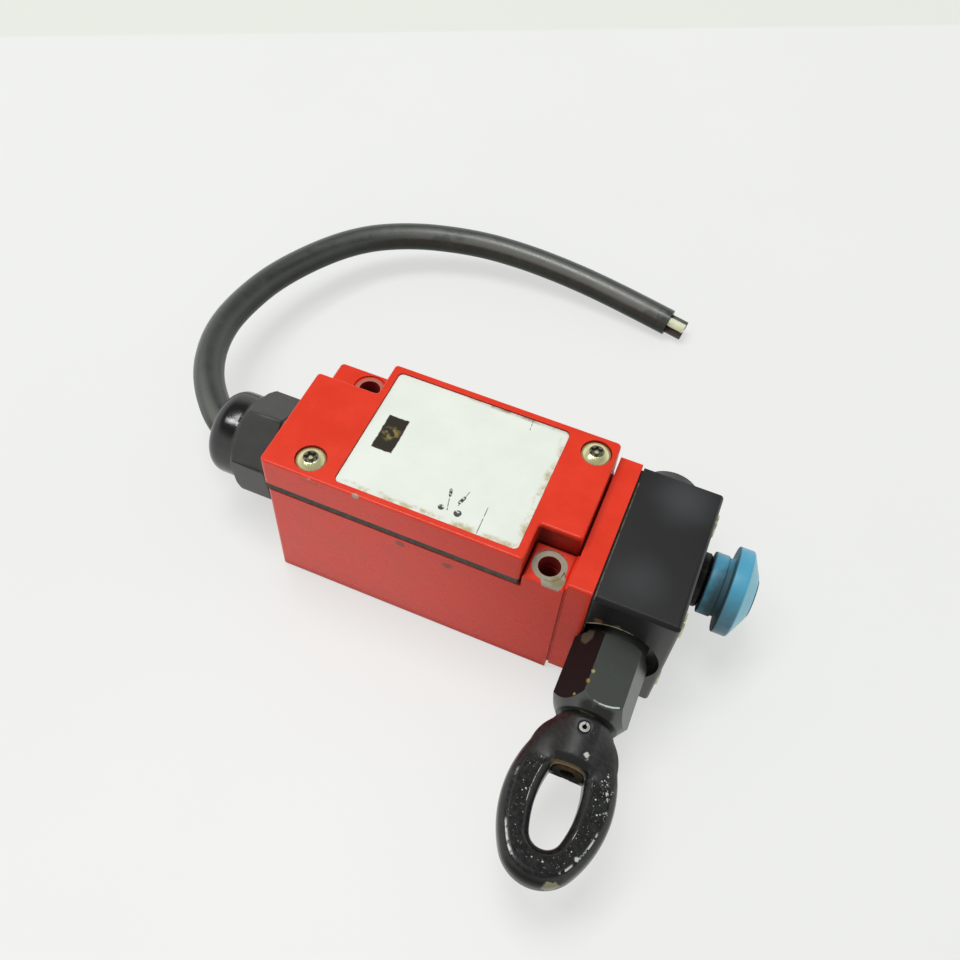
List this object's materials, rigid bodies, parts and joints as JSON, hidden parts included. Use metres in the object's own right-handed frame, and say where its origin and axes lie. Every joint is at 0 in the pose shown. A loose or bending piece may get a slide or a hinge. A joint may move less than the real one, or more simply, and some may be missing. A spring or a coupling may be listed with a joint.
{
  "type": "rope pull switch",
  "caption": "Rope pull safety switch: red die-cast housing with cover, black head with a sprung pull eye on a hex bushing, blue reset knob, cable gland and cut cable.",
  "frame": {"origin": "centre of the two mounting holes, on the mounting face", "axes": "+X along the housing from the cable gland to the head, +Z out of the mounting face towards the cover, and the rope pulls the eye towards -Y"},
  "size_m": [0.1704, 0.1931, 0.0476],
  "materials": {
    "red_paint": "satin red paint on die-cast zinc",
    "gasket_rubber": "matt dark grey rubber",
    "yellow_zinc": "yellow passivated zinc plating",
    "label_face": "printed off-white label, bare, stained at its edges",
    "black_head_paint": "satin black paint on die-cast zinc",
    "bushing_finish": "black oxide on turned steel, worn",
    "eye_paint": "gloss black paint, chipped",
    "plain_steel": "turned steel",
    "spring_steel": "spring wire",
    "blue_knob": "moulded blue plastic",
    "blue_disc": "moulded blue plastic",
    "block_plastic": "moulded grey thermoset",
    "contact_brass": "plain brass",
    "gland_plastic": "satin dark grey polyamide",
    "cable_jacket": "matt dark grey PVC",
    "core_insulation": "PVC core insulation"
  },
  "bodies": {
    "housing": {"housing": "red_paint", "cover_gasket": "gasket_rubber", "cover": "red_paint", "cover_screws": "yellow_zinc", "label_plate": "label_face", "head_gasket": "gasket_rubber", "head_casting": "black_head_paint", "head_screws": "yellow_zinc", "rear_cap": "black_head_paint", "cap_seal": "gasket_rubber", "pull_bushing": "bushing_finish", "shaft_wiper": "gasket_rubber", "pull_spring": "spring_steel", "reset_bush": "plain_steel", "reset_spring": "spring_steel", "contact_block": "block_plastic", "block_lid": "block_plastic", "block_screws": "yellow_zinc", "carrier_spring": "spring_steel", "fixed_contacts": "contact_brass", "terminal_clamps": "contact_brass", "terminal_screws": "yellow_zinc", "earth_clamp": "contact_brass", "earth_screw": "yellow_zinc", "gland_washer": "gasket_rubber", "gland_body": "gland_plastic", "gland_seal": "gasket_rubber", "gland_nut": "gland_plastic", "cable": "cable_jacket", "cable_inner": "cable_jacket", "cable_cores": "core_insulation", "lead_wires": "core_insulation"},
    "pull_slide": {"spring_seat": "plain_steel"},
    "pull_swivel": {"pull_shaft": "plain_steel", "pull_eye": "eye_paint", "roll_pin": "plain_steel"},
    "contacts": {"head_plunger": "plain_steel", "contact_carrier": "block_plastic", "contact_bridges": "contact_brass", "bridge_springs": "spring_steel"},
    "reset": {"reset_rod": "plain_steel", "reset_knob": "blue_knob", "knob_disc": "blue_disc"}
  },
  "joints": [
    {"name": "rope_pull", "type": "slide", "parent": "housing", "child": "pull_slide", "axis": [0, -1, 0], "range_m": [0, 0.008], "stiffness_N_per_m": 5000, "springref_m": -0.005, "deforming": ["pull_spring"]},
    {"name": "eye_swivel", "type": "hinge", "parent": "pull_slide", "child": "pull_swivel", "pos_m": [0.0497, 0, 0.0214], "axis": [0, 1, 0], "continuous": true},
    {"name": "contact_travel", "type": "slide", "parent": "housing", "child": "contacts", "axis": [-1, 0, 0], "range_m": [0, 0.0025], "deforming": ["carrier_spring"]},
    {"name": "reset_pull", "type": "slide", "parent": "housing", "child": "reset", "axis": [1, 0, 0], "range_m": [0, 0.0025], "stiffness_N_per_m": 800, "springref_m": -0.002, "deforming": ["reset_spring"]}
  ],
  "couplings": [
    {"joint": "contact_travel", "follows": "rope_pull", "ratio": 0.3125}
  ]
}
